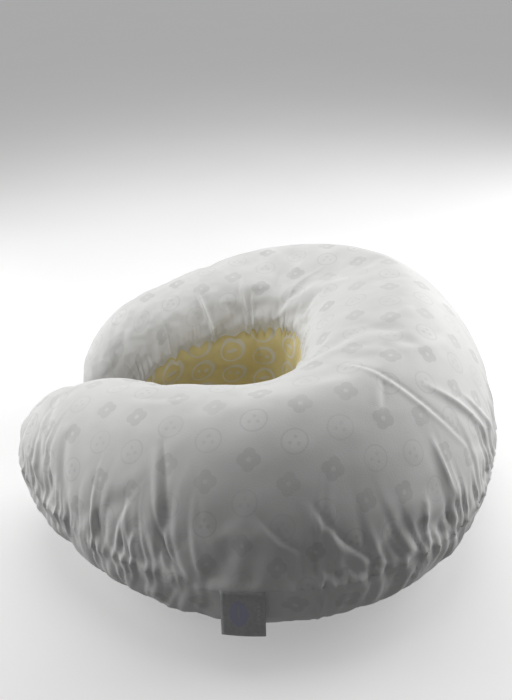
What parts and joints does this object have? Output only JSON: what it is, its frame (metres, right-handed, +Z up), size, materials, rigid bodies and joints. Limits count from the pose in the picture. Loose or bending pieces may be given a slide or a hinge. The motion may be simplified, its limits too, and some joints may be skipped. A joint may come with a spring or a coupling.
{
  "type": "nursing pillow",
  "caption": "C-shaped stuffed nursing pillow: white cloth casing with a printed stretch panel round the waist, fibre fill, perimeter seam and hanging satin label.",
  "frame": {"origin": "middle of the pillow's box, on the floor it lies on", "axes": "+Z up; +X from the opening between the arm tips towards the middle of the back; +Y from the right arm, which carries the loop label, to the left arm"},
  "size_m": [0.428, 0.5067, 0.1869],
  "materials": {
    "white_cotton": "matt white cotton blend with a faint tone-on-tone print",
    "printed_stretch": "matt ochre-yellow stretch cloth printed with pale rings",
    "white_thread": "white polyester sewing thread",
    "polyester_fibre": "loose white polyester fibre",
    "grey_satin": "grey woven satin ribbon, soft gloss",
    "white_satin": "white satin ribbon, soft gloss"
  },
  "bodies": {
    "right_arm": {"top_panel_right": "white_cotton", "bottom_panel_right": "white_cotton", "stretch_panel_right": "printed_stretch", "fibre_fill_right": "polyester_fibre", "outer_seam_thread_right": "white_thread", "upper_seam_thread_right": "white_thread", "lower_seam_thread_right": "white_thread"},
    "left_arm": {"top_panel_left": "white_cotton", "bottom_panel_left": "white_cotton", "stretch_panel_left": "printed_stretch", "fibre_fill_left": "polyester_fibre", "outer_seam_thread_left": "white_thread", "upper_seam_thread_left": "white_thread", "lower_seam_thread_left": "white_thread", "closing_stitch": "white_thread"},
    "loop_label_flap": {"loop_label": "grey_satin"},
    "care_label_flap": {"care_label": "white_satin"}
  },
  "joints": [
    {"name": "arm_spread", "type": "hinge", "parent": "right_arm", "child": "left_arm", "pos_m": [0.2155, 0, 0.09], "axis": [0, 0, -1], "range_deg": [0, 24], "stiffness_Nm_per_rad": 4},
    {"name": "loop_label_swing", "type": "hinge", "parent": "right_arm", "child": "loop_label_flap", "pos_m": [0.0141, -0.2435, 0.072], "axis": [-0.9985, -0.0551, 0], "range_deg": [0, 100]},
    {"name": "care_label_swing", "type": "hinge", "parent": "left_arm", "child": "care_label_flap", "pos_m": [0.0141, 0.2435, 0.072], "axis": [0.9985, -0.0551, 0], "range_deg": [0, 100]}
  ]
}
